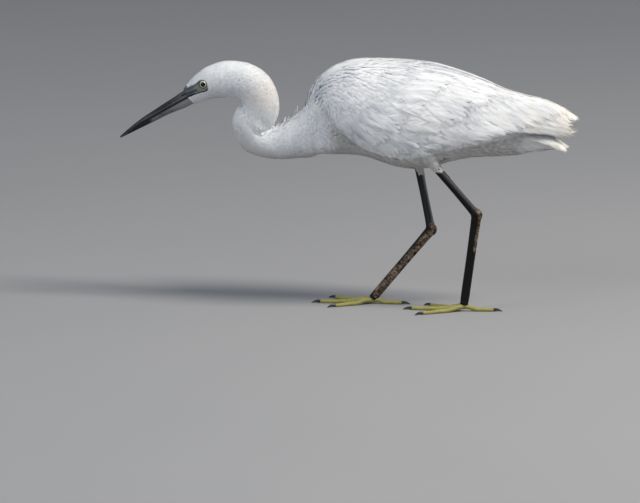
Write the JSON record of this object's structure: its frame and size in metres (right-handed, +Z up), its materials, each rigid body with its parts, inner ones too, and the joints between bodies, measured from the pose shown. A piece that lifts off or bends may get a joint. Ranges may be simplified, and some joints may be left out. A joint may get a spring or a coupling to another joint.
{
  "type": "little egret",
  "caption": "Life-size little egret wading with its neck folded in an S, its bill held low and its wings closed, standing on both feet.",
  "frame": {"origin": "centre of the bird's footprint, on the ground", "axes": "+X from the bill towards the tail, along the bird's length; +Y towards its right side, across it; +Z up"},
  "size_m": [0.4864, 0.1, 0.263],
  "materials": {
    "plumage": "soft matte white feathers",
    "bill": "satin black horn",
    "bill_pale": "grey horn, paler at the base and black at the tip",
    "eye": "wet, pale yellow iris with a black pupil",
    "leg": "scaled black skin",
    "foot": "scaled greenish yellow skin",
    "claw": "dark horn"
  },
  "bodies": {
    "root": {"bill_lower": "bill_pale", "bill_upper": "bill", "claw_left_hind": "claw", "claw_left_inner": "claw", "claw_left_middle": "claw", "claw_left_outer": "claw", "claw_right_hind": "claw", "claw_right_inner": "claw", "claw_right_middle": "claw", "claw_right_outer": "claw", "eye_left": "eye", "eye_right": "eye", "foot_left": "foot", "foot_right": "foot", "head": "plumage", "neck_lower": "plumage", "neck_middle": "plumage", "neck_upper": "plumage", "shank_left": "leg", "shank_right": "leg", "tail": "plumage", "tarsus_left": "leg", "tarsus_right": "leg", "thigh_left": "plumage", "thigh_right": "plumage", "torso": "plumage", "wing_left": "plumage", "wing_right": "plumage"}
  },
  "joints": []
}
